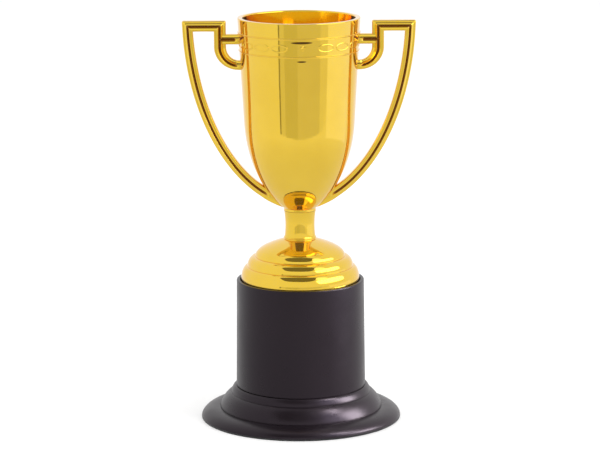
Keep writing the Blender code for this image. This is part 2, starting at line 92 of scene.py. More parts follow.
# Handles at +X
TOP_BAR_BOTTOM = 122.68 * MM
UPRIGHT_NEAR = 22.55 * MM
UPRIGHT_FAR = 26.4 * MM
LUG_TOP = 121.85 * MM
LUG_BOTTOM = 118.65 * MM
RING_CENTRE = (18.6 * MM, 117.9 * MM)
RING_FAR_AXES = (UPRIGHT_FAR - RING_CENTRE[0], 7.25 * MM)
RING_NEAR_AXES = (UPRIGHT_NEAR - RING_CENTRE[0], 4.22 * MM)
LEG_FAR = ((-3.22 * MM, 127.9 * MM), (39.52 * MM, 62.07 * MM))
LEG_NEAR = ((-1.55 * MM, 129.25 * MM), (34.46 * MM, 59.38 * MM))
GROOVE_DEPTH = 0.7 * MM
GROOVE_SHADE = 1.5          # how dark the painted shade is at the bottom of the grooves
WIDEST_SECTION = 2.3 * MM    # half of the width past which a bar's section is stretched
LUG_GROOVE_WIDTH = 0.34 * MM
LUG_GROOVE_DEPTH = 0.7 * MM
# The handle's broad outer rim, from its edge to its crest in the middle: (place across, fall as a share)
NEAR_RIM_FALL = 1.0 * MM
NEAR_RIM_SHAPE = ((-1.0, 1.0), (-0.985, 0.86), (-0.95, 0.74), (-0.9, 0.67), (-0.82, 0.625), (-0.7, 0.59),
                  (-0.6, 0.555), (-0.53, 0.51), (-0.47, 0.44), (-0.41, 0.33), (-0.34, 0.18), (-0.28, 0.08),
                  (-0.23, 0.02))
# The groove between that crest and the inner rim: (place across, depth as a share)
GROOVE_SHAPE = ((-0.19, 0.06), (-0.15, 0.3), (-0.11, 0.68), (-0.06, 0.93), (0.0, 1.0), (0.07, 0.93),
                (0.13, 0.7), (0.19, 0.4), (0.25, 0.17), (0.32, 0.05), (0.4, 0.0))


# ---------------------------------------------------------------- mesh helpers

def new_piece(name, verts, faces, material, replaced=(), sharp=32.0, recess=None):
    mesh = bpy.data.meshes.new(name)
    mesh.from_pydata([tuple(map(float, vert)) for vert in verts], [], faces)
    mark_recess(mesh, recess)
    mesh.materials.append(material)
    piece = bpy.data.objects.new(name, mesh)
    bpy.context.collection.objects.link(piece)
    finish_mesh(piece, sharp)
    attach(piece, "root")
    if replaced:
        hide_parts(*replaced)
    return piece


def mark_recess(mesh, recess):
    """How much painted shade each vertex takes: 1 down a groove, 2 in a slit painted as a dark shadow line;
    -1 deep inside the bowl, where the plating turns less metallic.
    """
    if recess is not None:
        mesh.attributes.new("recess", "FLOAT", "POINT").data.foreach_set("value", [float(r) for r in recess])


def finish_mesh(piece, sharp=32.0):
    piece.data.shade_smooth()
    piece.data.set_sharp_from_angle(angle=math.radians(sharp))


def ellipse_arc(centre, semi_axes, start, end, steps):
    angles = np.radians(np.linspace(start, end, steps + 1))
    return [(centre[0] + semi_axes[0] * math.cos(a), centre[1] + semi_axes[1] * math.sin(a)) for a in angles]


def bezier(start, start_handle, end_handle, end, steps):
    points = []
    for t in np.linspace(0.0, 1.0, steps + 1):
        weights = ((1 - t) ** 3, 3 * t * (1 - t) ** 2, 3 * t * t * (1 - t), t ** 3)
        corners = (start, start_handle, end_handle, end)
        points.append(tuple(sum(w * c[i] for w, c in zip(weights, corners)) for i in (0, 1)))
    return points


def shoulder(inner, top, outer, base, steps, fullness=2.0, end=0.0):
    """A rounded step from (inner, top), level, down to (outer, base), upright. Fullness 1 is a cone."""
    points = []
    for angle in np.radians(np.linspace(90.0, end, steps + 1)):
        across = max(0.0, math.cos(angle)) ** (2.0 / fullness)
        rise = max(0.0, math.sin(angle)) ** (2.0 / fullness)
        points.append((inner + (outer - inner) * across, base + (top - base) * rise))
    return points


def fillet(before, corner, after, radius, steps=5):
    """Points that round one corner of an outline."""
    corner, before, after = (np.array(p) for p in (corner, before, after))
    start = corner + (before - corner) * min(0.5, radius / np.linalg.norm(before - corner))
    end = corner + (after - corner) * min(0.5, radius / np.linalg.norm(after - corner))
    return [tuple((1 - t) ** 2 * start + 2 * t * (1 - t) * corner + t * t * end)
            for t in np.linspace(0.0, 1.0, steps + 1)]


def rounded(outline, radii):
    """The closed outline with the corners numbered in radii rounded."""
    result = []
    count = len(outline)
    for number, point in enumerate(outline):
        if number in radii:
            result += fillet(outline[number - 1], point, outline[(number + 1) % count], radii[number])
        else:
            result.append(point)
    return result


def supported(outline, recess, reach=0.05 * MM):
    """The closed outline with extra points near the ends of its long straight runs, to keep them straight."""
    points, depths = [], []
    for number, point in enumerate(outline):
        following = (number + 1) % len(outline)
        start, end = np.array(point), np.array(outline[following])
        length = np.linalg.norm(end - start)
        shares = (0.0, reach / length, 1.0 - reach / length) if length > 8 * reach else (0.0,)
        points += [tuple(start + (end - start) * share) for share in shares]
        depths += [recess[number] + (recess[following] - recess[number]) * share for share in shares]
    return points, depths


def turned(name, outline, material, replaced=(), turns=TURNS, sharp=32.0, recess=None):
    """A closed (radius, height) outline, given top to bottom on its outer side, spun about Z."""
    outline, depths = supported(outline, recess or [0.0] * len(outline))
    angles = np.linspace(0.0, math.tau, turns, endpoint=False)
    verts = [(r * math.cos(a), r * math.sin(a), z) for a in angles for r, z in outline]
    count = len(outline)
    faces = []
    for turn in range(turns):
        here, there = turn * count, ((turn + 1) % turns) * count
        for i in range(count):
            j = (i + 1) % count
            faces.append((here + i, here + j, there + j, there + i))
    return new_piece(name, verts, faces, material, replaced, sharp, depths * turns if recess else None)


# ---------------------------------------------------------------- node helpers

class Nodes:
    """A small builder for shader trees."""

    def __init__(self, material):
        self.tree = material.node_tree

    def add(self, kind, inputs=None, **settings):
        node = self.tree.nodes.new(kind)
        for key, value in settings.items():
            setattr(node, key, value)
        for key, value in (inputs or {}).items():
            if isinstance(value, bpy.types.NodeSocket):
                self.tree.links.new(value, node.inputs[key])
            else:
                node.inputs[key].default_value = value
        return node

    def noise(self, place, scale, detail=2.0, roughness=0.5):
        inputs = {"Vector": place, "Scale": scale, "Detail": detail, "Roughness": roughness}
        return self.add("ShaderNodeTexNoise", inputs).outputs["Fac"]

    def remap(self, value, low_in, high_in, low_out, high_out):
        inputs = {"Value": value, "From Min": low_in, "From Max": high_in,
                  "To Min": low_out, "To Max": high_out}
        return self.add("ShaderNodeMapRange", inputs).outputs["Result"]

    def mix(self, factor, first, second):
        node = self.add("ShaderNodeMix", data_type="RGBA")
        self.tree.links.new(factor, node.inputs["Factor"])
        for socket, value in ((node.inputs[6], first), (node.inputs[7], second)):
            if isinstance(value, bpy.types.NodeSocket):
                self.tree.links.new(value, socket)
            else:
                socket.default_value = value
        return node.outputs[2]

    def math(self, operation, first, second):
        return self.add("ShaderNodeMath", {0: first, 1: second}, operation=operation).outputs[0]


def principled(name, **values):
    """A material with its Principled shader and the object's own coordinates."""
    material = bpy.data.materials.new(name)
    material.use_nodes = True
    nodes = Nodes(material)
    shader = material.node_tree.nodes["Principled BSDF"]
    for key, value in values.items():
        shader.inputs[key.replace("_", " ")].default_value = value
    place = nodes.add("ShaderNodeTexCoord").outputs["Object"]
    return material, nodes, shader, place


def stretched(nodes, place, scale):
    return nodes.add("ShaderNodeMapping", {"Vector": place, "Scale": scale}).outputs["Vector"]


def gold_plating():
    """Vacuum-plated plastic: mirror metal with a faint moulded ripple under a glossy lacquer."""
    material, nodes, shader, place = principled(
        "gold_plating", Coat_Roughness=0.03, Coat_IOR=1.5,
        Specular_Tint=(1.0, 0.80, 0.52, 1.0), Sheen_Weight=0.03, Sheen_Roughness=0.6)
    lacquer = nodes.remap(nodes.noise(place, 90.0, 3.0), 0.35, 0.65, 0.0, 1.0)
    colour = nodes.mix(lacquer, (0.87, 0.575, 0.030, 1.0), (0.84, 0.545, 0.022, 1.0))
    # Painted shade: the recess attribute darkens the base colour to brown down the handles' grooves and to
    # near black in the band's slits, standing in for the shade inside them; the slits also lose most of their
    # coat.
    recess = nodes.add("ShaderNodeAttribute", attribute_name="recess").outputs["Fac"]
    groove_shaded = nodes.mix(nodes.remap(recess, 0.1, 0.7, 0.0, 1.0), colour, (0.42, 0.20, 0.010, 1.0))
    slit = nodes.mix(nodes.remap(recess, 1.1, 1.8, 0.0, 1.0), groove_shaded, (0.11, 0.052, 0.003, 1.0))
    nodes.tree.links.new(slit, shader.inputs["Base Color"])
    nodes.tree.links.new(nodes.remap(recess, 1.1, 1.8, 1.0, 0.1), shader.inputs["Coat Weight"])
    nodes.tree.links.new(nodes.remap(recess, -1.0, 0.0, 0.5, 1.0), shader.inputs["Metallic"])
    smudge = nodes.noise(stretched(nodes, place, (1.0, 1.0, 0.45)), 260.0, 4.0, 0.6)
    nodes.tree.links.new(nodes.remap(smudge, 0.35, 0.75, 0.05, 0.11), shader.inputs["Roughness"])
    ripple = nodes.noise(place, 330.0, 1.0)
    grain = nodes.noise(place, 2600.0, 1.0)
    height = nodes.math("ADD", ripple, nodes.math("MULTIPLY", grain, 0.06))
    bump = nodes.add("ShaderNodeBump", {"Height": height, "Strength": 1.0, "Distance": 0.000012})
    nodes.tree.links.new(bump.outputs["Normal"], shader.inputs["Normal"])
    return material


def black_plastic():
    """Satin black moulded plastic with a very fine spark texture and faint handling marks."""
    material, nodes, shader, place = principled(
        "black_plastic", Specular_IOR_Level=0.36, IOR=1.46, Specular_Tint=(1.0, 0.82, 0.97, 1.0))
    haze = nodes.noise(place, 60.0, 4.0, 0.55)
    colour = nodes.mix(haze, (0.0040, 0.0026, 0.0036, 1.0), (0.0062, 0.0042, 0.0056, 1.0))
    cells = nodes.add("ShaderNodeTexVoronoi", {"Vector": place, "Scale": 130.0})
    near_point = nodes.remap(cells.outputs["Distance"], 0.012, 0.022, 1.0, 0.0)
    draw = nodes.add("ShaderNodeSeparateColor", {"Color": cells.outputs["Color"]}).outputs[0]
    chosen = nodes.remap(draw, 0.88, 0.9, 0.0, 1.0)
    dusted = nodes.mix(nodes.math("MULTIPLY", near_point, chosen), colour, (0.12, 0.115, 0.12, 1.0))
    nodes.tree.links.new(dusted, shader.inputs["Base Color"])
    smudge = nodes.noise(place, 150.0, 5.0, 0.6)
    nodes.tree.links.new(nodes.remap(smudge, 0.3, 0.75, 0.26, 0.36), shader.inputs["Roughness"])
    grain = nodes.noise(place, 5200.0, 2.0, 0.6)
    waves = nodes.noise(place, 420.0, 1.0)
    height = nodes.math("ADD", waves, nodes.math("MULTIPLY", grain, 0.25))
    bump = nodes.add("ShaderNodeBump", {"Height": height, "Strength": 1.0, "Distance": 0.000012})
    nodes.tree.links.new(bump.outputs["Normal"], shader.inputs["Normal"])
    return material


def zinc_steel():
    """Bright zinc plate with turning marks round the axis."""
    material, nodes, shader, place = principled("zinc_steel", Metallic=1.0)
    patches = nodes.noise(place, 500.0, 4.0, 0.6)
    colour = nodes.mix(patches, (0.56, 0.57, 0.60, 1.0), (0.72, 0.72, 0.71, 1.0))
    nodes.tree.links.new(colour, shader.inputs["Base Color"])
    nodes.tree.links.new(nodes.remap(patches, 0.3, 0.7, 0.22, 0.38), shader.inputs["Roughness"])
    lines = nodes.noise(stretched(nodes, place, (1.0, 1.0, 9.0)), 2500.0, 2.0)
    bump = nodes.add("ShaderNodeBump", {"Height": lines, "Strength": 0.6, "Distance": 0.00002})
    nodes.tree.links.new(bump.outputs["Normal"], shader.inputs["Normal"])
    return material


def black_felt():
    """Pressed felt: matt black with short fibres lying every way."""
    material, nodes, shader, place = principled(
        "black_felt", Roughness=0.95, Sheen_Weight=0.25, Sheen_Roughness=0.5)
    fibres = nodes.noise(place, 6000.0, 4.0, 0.7)
    tufts = nodes.noise(stretched(nodes, place, (1.0, 2.2, 1.0)), 2200.0, 3.0, 0.6)
    blend = nodes.math("MULTIPLY", fibres, tufts)
    colour = nodes.mix(nodes.remap(blend, 0.1, 0.45, 0.0, 1.0),
                       (0.006, 0.006, 0.007, 1.0), (0.030, 0.029, 0.031, 1.0))
    nodes.tree.links.new(colour, shader.inputs["Base Color"])
    bump = nodes.add("ShaderNodeBump", {"Height": blend, "Strength": 0.8, "Distance": 0.0002})
    nodes.tree.links.new(bump.outputs["Normal"], shader.inputs["Normal"])
    return material


# ---------------------------------------------------------------- bowl

def flare_angle():
    return math.atan(FLARE * BOWL_SEMI_AXES[1] / BOWL_SEMI_AXES[0])


def bowl_radius(height):
    flare_start = BOWL_CENTRE[1] - BOWL_SEMI_AXES[1] * math.sin(flare_angle())
    if height >= flare_start:
        return RIM_RADIUS - FLARE * (HEIGHT - height)
    rise = (height - BOWL_CENTRE[1]) / BOWL_SEMI_AXES[1]
    return BOWL_CENTRE[0] + BOWL_SEMI_AXES[0] * math.sqrt(1.0 - rise * rise)


def bowl_curve(offset, start_radius, steps):
    semi_axes = (BOWL_SEMI_AXES[0] + offset, BOWL_SEMI_AXES[1] + offset)
    start = -math.degrees(math.acos((start_radius - BOWL_CENTRE[0]) / semi_axes[0]))
    return ellipse_arc(BOWL_CENTRE, semi_axes, start, -math.degrees(flare_angle()), steps)


def rib_points(height):
    """A fine raised line on the cone, bottom to top: long below its crest and short above it."""
    stand, below, above, margin = 0.3 * MM, 0.36 * MM, 0.12 * MM, 0.1 * MM
    points = [(bowl_radius(height), height - below - margin)]
    for angle in np.radians(np.linspace(-90.0, 90.0, 17)):
        level = height + (above if angle > 0.0 else below) * math.sin(angle)
        points.append((bowl_radius(level) + stand * math.cos(angle), level))
    points.append((bowl_radius(height), height + above + margin))
    return points


def build_bowl(gold):
    """The bowl, with its ribs, rounded lip and inside; the plating is less mirror-like deep inside."""
    outer_lip, inner_lip, floor_round, foot_round = 0.24 * MM, 0.4 * MM, 1.0 * MM, 0.2 * MM
    shade_start, shade_length = 0.8 * MM, 20.0 * MM
    outline = [(BORE_RADIUS, BOWL_BOTTOM)]
    foot = (NECK_RADIUS, BOWL_BOTTOM)
    outline += fillet(outline[0], foot, (NECK_RADIUS, BOWL_BOTTOM + MM), foot_round)
    outline += bowl_curve(0.0, NECK_RADIUS, 60)
    for height in RIBS:
        outline += rib_points(height)
    inner_rim = RIM_RADIUS - GOLD_WALL
    centre_out = (bowl_radius(HEIGHT - outer_lip) - outer_lip, HEIGHT - outer_lip)
    outline += ellipse_arc(centre_out, (outer_lip, outer_lip), 0.0, 90.0, 6)
    centre_in = (inner_rim + inner_lip, HEIGHT - inner_lip)
    outline += ellipse_arc(centre_in, (inner_lip, inner_lip), 90.0, 180.0, 8)
    outside = len(outline)
    floor_share = (BOWL_FLOOR - BOWL_CENTRE[1]) / (BOWL_SEMI_AXES[1] - GOLD_WALL)
    floor_radius = BOWL_CENTRE[0] + (BOWL_SEMI_AXES[0] - GOLD_WALL) * math.sqrt(1.0 - floor_share ** 2)
    inner = bowl_curve(-GOLD_WALL, floor_radius, 40)
    top_inner = np.array(outline[-1])
    wall_run = np.array(inner[-1]) - top_inner
    outline += [tuple(top_inner + wall_run * share) for share in np.linspace(0.05, 0.95, 12)]
    outline += inner[:0:-1]
    outline += fillet(inner[1], inner[0], (BORE_RADIUS, BOWL_FLOOR), floor_round)
    outline.append((BORE_RADIUS, BOWL_FLOOR))
    depth = [0.0] * outside
    depth += [-smooth((HEIGHT - shade_start - z) / shade_length) for r, z in outline[outside:]]
    return turned("cup_bowl_skin", outline[::-1], gold, ("cup_bowl",), recess=depth[::-1])


def relief_line(path, section, closed):
    """A raised line along a path of (angle, height) on the bowl's wall; returns verts and faces.

    The section is (across, out) points, where out is measured from the wall and upwards is across."""
    path = np.array(path)
    count, size = len(path), len(section)
    verts, faces = [], []
    for i, (angle, height) in enumerate(path):
        ahead = path[(i + 1) % count] if closed or i + 1 < count else path[i]
        behind = path[i - 1] if closed or i else path[i]
        radius = bowl_radius(height)
        along = np.array([(ahead[0] - behind[0]) * radius, ahead[1] - behind[1]])
        along /= np.linalg.norm(along)
        taper = 1.0 if closed else max(0.15, math.sin(math.pi * (i + 0.35) / (count - 0.3)) ** 0.5)
        for across, out in section:
            level = height + along[0] * across * taper
            turn = angle - along[1] * across * taper / radius
            reach = bowl_radius(level) + out * taper
            verts.append((reach * math.cos(turn), reach * math.sin(turn), level))
    for i in range(count if closed else count - 1):
        j = (i + 1) % count
        for k in range(size):
            m = (k + 1) % size
            faces.append((i * size + k, i * size + m, j * size + m, j * size + k))
    if not closed:
        faces.append(tuple(range(size))[::-1])
        faces.append(tuple((count - 1) * size + k for k in range(size)))
    return verts, faces


def build_band(gold):
    """A ring of raised ovals between the ribs, and at the front and back a small three-petal sprig with a
    tapered ledge over it and a shorter one below the band."""
    middle = (RIBS[0] + RIBS[1]) / 2 - 0.35 * MM
    half_height = 1.1 * MM
    line_half_width, line_stand, line_sink = 0.25 * MM, 0.2 * MM, 0.25
    petal_bend, petal_spread, petal_drop = 0.25 * MM, 1.3 * MM, 0.3
    painted_slit_shadow = 2.0             # the ledges' painted shade: they are coloured as dark shadow slits
    line = [(line_half_width * math.cos(a), line_stand * (math.sin(a) - line_sink))
            for a in np.linspace(0, math.tau, 10, endpoint=False)]
    ledge = ((0.34, -0.06), (0.3, 0.1), (0.22, 0.2), (0.1, 0.24), (0.0, 0.235), (-0.2, 0.14),
             (-0.4, 0.03), (-0.5, -0.06))
    upper_ledge = (RIBS[1] - 1.2 * MM, 3.3 * MM, 1.0)       # height, half length, share of the full section
    lower_ledge = (RIBS[0] - 1.45 * MM, 1.5 * MM, 0.7)
    ledge_turn = -0.02
    front = math.radians(-90.0 + 3.6)
    sprig_gap = math.radians(26.0)
    ovals_per_side = 8
    pitch = (math.pi - sprig_gap) / ovals_per_side
    half_turn = pitch * 0.41
    verts, faces, recess = [], [], []

    def add(path, section, closed, shade=0.0):
        offset = len(verts)
        line_verts, line_faces = relief_line(path, section, closed)
        verts.extend(line_verts)
        recess.extend([shade] * len(line_verts))
        faces.extend(tuple(index + offset for index in face) for face in line_faces)

    for side in range(2):
        sprig = front + side * math.pi
        for number in range(ovals_per_side):
            centre = sprig + sprig_gap / 2 + (number + 0.5) * pitch
            add([(centre + half_turn * math.cos(a), middle + half_height * math.sin(a))
                 for a in np.linspace(0.0, math.tau, 56, endpoint=False)], line, True)
        for lean in (-1, 0, 1):
            foot = (sprig, middle - 0.8 * half_height)
            bend = (sprig + lean * petal_bend / RIM_RADIUS, middle + 0.3 * half_height)
            tip_rise = 0.9 - petal_drop * abs(lean)
            tip = (sprig + lean * petal_spread / RIM_RADIUS, middle + tip_rise * half_height)
            add(bezier(foot, bend, bend, tip, 12), line, False)
        for height, half_length, share in (upper_ledge, lower_ledge):
            reach = half_length / RIM_RADIUS
            bar = [(sprig + ledge_turn + place * reach, height) for place in np.linspace(-1.0, 1.0, 25)]
            add(bar, [(across * MM * share, out * MM * share) for across, out in ledge], False, painted_slit_shadow)
    return new_piece("cup_band_relief", verts, faces, gold, recess=recess)


# ---------------------------------------------------------------- handles

def meet_ellipse(point, direction, ellipse):
    """How far from the point, along direction, the nearer crossing of the ellipse lies."""
    (cx, cz), (a, b) = ellipse
    px, pz = (point[0] - cx) / a, (point[1] - cz) / b
    dx, dz = direction[0] / a, direction[1] / b
    square, half, rest = dx * dx + dz * dz, px * dx + pz * dz, px * px + pz * pz - 1.0
    root = math.sqrt(half * half - square * rest)
    return min(((-half - root) / square, (-half + root) / square), key=abs)


def ellipse_at(ellipse, height):
    """How far out an ellipse, given as its centre and semi-axes, lies at a height."""
    (cx, cz), (a, b) = ellipse
    return cx + a * math.sqrt(1 - ((height - cz) / b) ** 2)


def handle_ladder():
    """Pairs of (near, far) edge points along the handle, with how deep its groove is at each."""
    rungs = []
    ring_start, groove_start, groove_run_out = -97.0, -86.0, 8.0       # degrees round the quarter ring
    leg_groove_end = 71.2 * MM
    corner = 0.55 * MM
    near_arc = ellipse_arc(RING_CENTRE, RING_NEAR_AXES, ring_start, 0.0, 24)
    far_arc = ellipse_arc(RING_CENTRE, RING_FAR_AXES, ring_start, 0.0, 24)
    for degrees, near, far in zip(np.linspace(ring_start, 0.0, 25), near_arc, far_arc):
        rungs.append((near, far, smooth((degrees - groove_start) / groove_run_out)))
    for height in np.linspace(RING_CENTRE[1] + 0.4 * MM, TOP_BAR_BOTTOM - 0.5 * MM, 10):
        rungs.append(((UPRIGHT_NEAR, height), (UPRIGHT_FAR, height), 1.0))
    top = TOP_BAR_TOP
    inner = (UPRIGHT_FAR, TOP_BAR_BOTTOM)
    for point in ellipse_arc((UPRIGHT_NEAR + corner, top - corner), (corner, corner), 180.0, 90.0, 6):
        rungs.append((point, inner, 1.0))
    bar_end_far = ellipse_at(LEG_FAR, top)
    bar_end_near = ellipse_at(LEG_NEAR, TOP_BAR_BOTTOM)
    for share in np.linspace(0.06, 0.94, 10):
        x_out = UPRIGHT_NEAR + corner + (bar_end_far - UPRIGHT_NEAR - 2 * corner) * share
        x_in = UPRIGHT_FAR + (bar_end_near - UPRIGHT_FAR) * share
        rungs.append(((x_out, top), (x_in, TOP_BAR_BOTTOM), 1.0))
    inner = (bar_end_near, TOP_BAR_BOTTOM)
    for point in ellipse_arc((bar_end_far - corner, top - corner), (corner, corner), 90.0, 0.0, 6):
        rungs.append((point, inner, 1.0))
    centre = ((LEG_FAR[0][0] + LEG_NEAR[0][0]) / 2, (LEG_FAR[0][1] + LEG_NEAR[0][1]) / 2)
    axes = ((LEG_FAR[1][0] + LEG_NEAR[1][0]) / 2, (LEG_FAR[1][1] + LEG_NEAR[1][1]) / 2)
    start = math.degrees(math.asin((TOP_BAR_BOTTOM - 1.2 * MM - centre[1]) / axes[1]))
    for angle in np.radians(np.linspace(start, -83.0, 90)):
        middle = (centre[0] + axes[0] * math.cos(angle), centre[1] + axes[1] * math.sin(angle))
        normal = np.array([math.cos(angle) / axes[0], math.sin(angle) / axes[1]])
        normal /= np.linalg.norm(normal)
        outer = meet_ellipse(middle, normal, LEG_FAR)
        within = meet_ellipse(middle, normal, LEG_NEAR)
        rungs.append(((middle[0] + normal[0] * outer, middle[1] + normal[1] * outer),
                      (middle[0] + normal[0] * within, middle[1] + normal[1] * within),
                      smooth((middle[1] - leg_groove_end) / MM)))
    return rungs


def smooth(share):
    share = min(1.0, max(0.0, share))
    return share * share * (3.0 - 2.0 * share)


def bar_section(half_width, groove):
    """The front half of a bar's section from its near side to its far side: (across, depth, recess)."""
    edge = 0.42 * MM
    draft = 0.10 * MM
    depth = HANDLE_HALF_DEPTH
    far_crest = half_width - draft - edge
    points = [(-half_width, 0.0, 0.0), (-half_width + draft * 0.5, depth * 0.2, 0.0)]
    fall = edge + (NEAR_RIM_FALL - edge) * groove
    points += [(share * (half_width - draft), depth - fall * drop, 0.0) for share, drop in NEAR_RIM_SHAPE]
    for share, drop in GROOVE_SHAPE:
        down = groove * drop
        points.append((share * half_width, depth - GROOVE_DEPTH * down, GROOVE_SHADE * down))
    points += [(u, y, 0.0) for u, y in ellipse_arc((far_crest, depth - edge), (edge, edge), 90.0, 0.0, 6)]
    points.append((half_width - draft * 0.5, depth * 0.3, 0.0))
    points.append((half_width, 0.0, 0.0))
    return points


def swept(rungs, side):
    """Verts, faces and recess values of a bar that fills the ladder of rungs, on one side of the trophy."""
    verts, faces, recess = [], [], []
    for near, far, groove in rungs:
        near, far = np.array(near), np.array(far)
        width = np.linalg.norm(far - near)
        across = (far - near) / width
        middle = (near + far) / 2
        half = bar_section(min(width / 2, WIDEST_SECTION), groove)
        ring = [(u, -y, r) for u, y, r in half] + [(u, y, r) for u, y, r in half[-2:0:-1]]
        stretch = width / 2 / half[-1][0]
        for u, y, r in ring:
            point = middle + across * u * stretch
            verts.append((side * point[0], y, point[1]))
            recess.append(r)
    size = len(ring)
    for i in range(len(rungs) - 1):
        for k in range(size):
            m = (k + 1) % size
            quad = (i * size + k, (i + 1) * size + k, (i + 1) * size + m, i * size + m)
            faces.append(quad if side > 0 else quad[::-1])
    first = tuple(range(size))
    last = tuple((len(rungs) - 1) * size + k for k in range(size))
    faces.append(first if side > 0 else first[::-1])
    faces.append(last[::-1] if side > 0 else last)
    return verts, faces, recess


def tool_object(name, verts, faces, recess=None):
    mesh = bpy.data.meshes.new(name)
    mesh.from_pydata([tuple(map(float, v)) for v in verts], [], faces)
    mark_recess(mesh, [0.0] * len(verts) if recess is None else recess)
    tool = bpy.data.objects.new(name, mesh)
    bpy.context.collection.objects.link(tool)
    return tool


def outward(tool):
    """Turn all the faces of a closed mesh outward."""
    work = bmesh.new()
    work.from_mesh(tool.data)
    bmesh.ops.recalc_face_normals(work, faces=work.faces)
    work.to_mesh(tool.data)
    work.free()


def combine(piece, operation, tool):
    outward(tool)
    modifier = piece.modifiers.new(tool.name, "BOOLEAN")
    modifier.operation = operation
    modifier.solver = "EXACT"
    modifier.object = tool


def apply_modifiers(piece, tools):
    graph = bpy.context.evaluated_depsgraph_get()
    mesh = bpy.data.meshes.new_from_object(piece.evaluated_get(graph), preserve_all_data_layers=True,
                                           depsgraph=graph)
    piece.modifiers.clear()
    piece.data = mesh
    for tool in tools:
        bpy.data.objects.remove(tool, do_unlink=True)
    bpy.context.view_layer.update()


def lug_shapes(side):
    """The plain lug bar, and the tool that cuts its groove through to the upright's."""
    middle = (LUG_TOP + LUG_BOTTOM) / 2
    upright_middle = (UPRIGHT_NEAR + UPRIGHT_FAR) / 2
    inside_bowl, inside_upright = 0.8 * MM, 0.75 * MM
    bar = [((x, LUG_TOP), (x, LUG_BOTTOM), 0.0)
           for x in np.linspace(bowl_radius(middle) - inside_bowl, upright_middle - inside_upright, 12)]
    from_bowl, run_out, full_depth = 0.7 * MM, 0.6 * MM, 0.9 * MM
    tool_half, tool_rise, skim = 1.0 * MM, 1.0 * MM, 0.012 * MM
    groove_start = bowl_radius(middle) + from_bowl
    stations = np.concatenate([np.linspace(groove_start, groove_start + run_out, 5),
                               np.linspace(groove_start + full_depth, upright_middle, 10)])
    shares = np.linspace(-1.0, 1.0, 21)
    size = len(shares) + 2
    verts, faces = [], []
    for face in (-1, 1):
        base = len(verts)
        for x in stations:
            depth = smooth((x - groove_start) / run_out)
            for share in shares:
                across = share * tool_half
                valley = depth * LUG_GROOVE_DEPTH * math.exp(-(across / LUG_GROOVE_WIDTH) ** 2)
                verts.append((side * x, face * (HANDLE_HALF_DEPTH - valley + skim), middle + across))
            for across in (tool_half, -tool_half):
                verts.append((side * x, face * (HANDLE_HALF_DEPTH + tool_rise), middle + across))
        for i in range(len(stations) - 1):
            here, there = base + i * size, base + (i + 1) * size
            for k in range(size):
                m = (k + 1) % size
                faces.append((here + k, here + m, there + m, there + k))
        faces.append(tuple(base + k for k in range(size)))
        faces.append(tuple(base + (len(stations) - 1) * size + k for k in range(size)))
    return swept(bar, side), (verts, faces)


def bowl_core_shape(turns=128):
    """A solid just inside the bowl's outer wall, which trims the handles' ends inside it."""
    sink = -0.35 * MM
    base = BOWL_BOTTOM - 2 * MM
    profile = [(0.0, base), (NECK_RADIUS + sink, base)]
    profile += bowl_curve(sink, NECK_RADIUS + sink, 60)
    profile += [(bowl_radius(HEIGHT) + sink, HEIGHT), (0.0, HEIGHT)]
    verts = [(0.0, 0.0, profile[0][1]), (0.0, 0.0, profile[-1][1])]
    ring = profile[1:-1]
    for a in np.linspace(0.0, math.tau, turns, endpoint=False):
        verts += [(r * math.cos(a), r * math.sin(a), z) for r, z in ring]
    size = len(ring)
    faces = []
    for t in range(turns):
        here, there = 2 + t * size, 2 + ((t + 1) % turns) * size
        faces.append((0, there, here))
        faces.append((1, here + size - 1, there + size - 1))
        faces += [(here + i, there + i, there + i + 1, here + i + 1) for i in range(size - 1)]
    return verts, faces


def shade_lug_groove(piece, side):
    """Painted shade down the lug bar's groove, up to where it meets the upright's."""
    middle = (LUG_TOP + LUG_BOTTOM) / 2
    stop = (UPRIGHT_NEAR + UPRIGHT_FAR) / 2
    values = piece.data.attributes["recess"].data
    for vert, value in zip(piece.data.vertices, values):
        x, y, z = vert.co
        valley = HANDLE_HALF_DEPTH - abs(y)
        in_groove = 0.0 < valley < 1.1 * LUG_GROOVE_DEPTH and abs(z - middle) < 2.0 * LUG_GROOVE_WIDTH
        if in_groove and bowl_radius(middle) < side * x < stop:
            value.value = max(value.value, GROOVE_SHADE * valley / LUG_GROOVE_DEPTH)


def build_handle(side, name, gold):
    verts, faces, recess = swept(handle_ladder(), side)
    piece = new_piece(f"{name}_skin", verts, faces, gold, (name,), recess=recess)
    outward(piece)
    bar_shape, groove_shape = lug_shapes(side)
    bar = tool_object("lug_bar", *bar_shape)
    groove = tool_object("lug_groove", *groove_shape)
    core = tool_object("bowl_core", *bowl_core_shape())
    combine(piece, "UNION", bar)
    combine(piece, "DIFFERENCE", groove)
    combine(piece, "DIFFERENCE", core)
    apply_modifiers(piece, (bar, groove, core))
    shade_lug_groove(piece, side)
    finish_mesh(piece, HANDLE_SHARP)
    return piece


# ---------------------------------------------------------------- stem and gold foot

def build_stem(gold):
    """A waisted riser with a fine bead at its lower end."""
    gap, seat = 0.01 * MM, 0.05 * MM
    top = BOWL_BOTTOM - gap
    waist_height, waist_radius, curve = 61.6 * MM, 4.62 * MM, 27.0 * MM
    lip_radius, bead, bead_rise = 5.1 * MM, 0.2 * MM, 0.27 * MM
    bead_middle, curve_end = STEM_BOTTOM + 0.25 * MM, STEM_BOTTOM + 0.75 * MM
    outline = [(BORE_RADIUS, top)]
    for level in np.linspace(top, curve_end, 30):
        outline.append((waist_radius + curve - math.sqrt(curve ** 2 - (level - waist_height) ** 2), level))
    outline += ellipse_arc((lip_radius - bead, bead_middle), (bead, bead_rise), 90.0, -90.0, 10)
    outline += [(lip_radius - bead, DOME_TOP - seat), (BORE_RADIUS, DOME_TOP - seat)]
    return turned("stem_skin", outline, gold, ("stem",), 192)


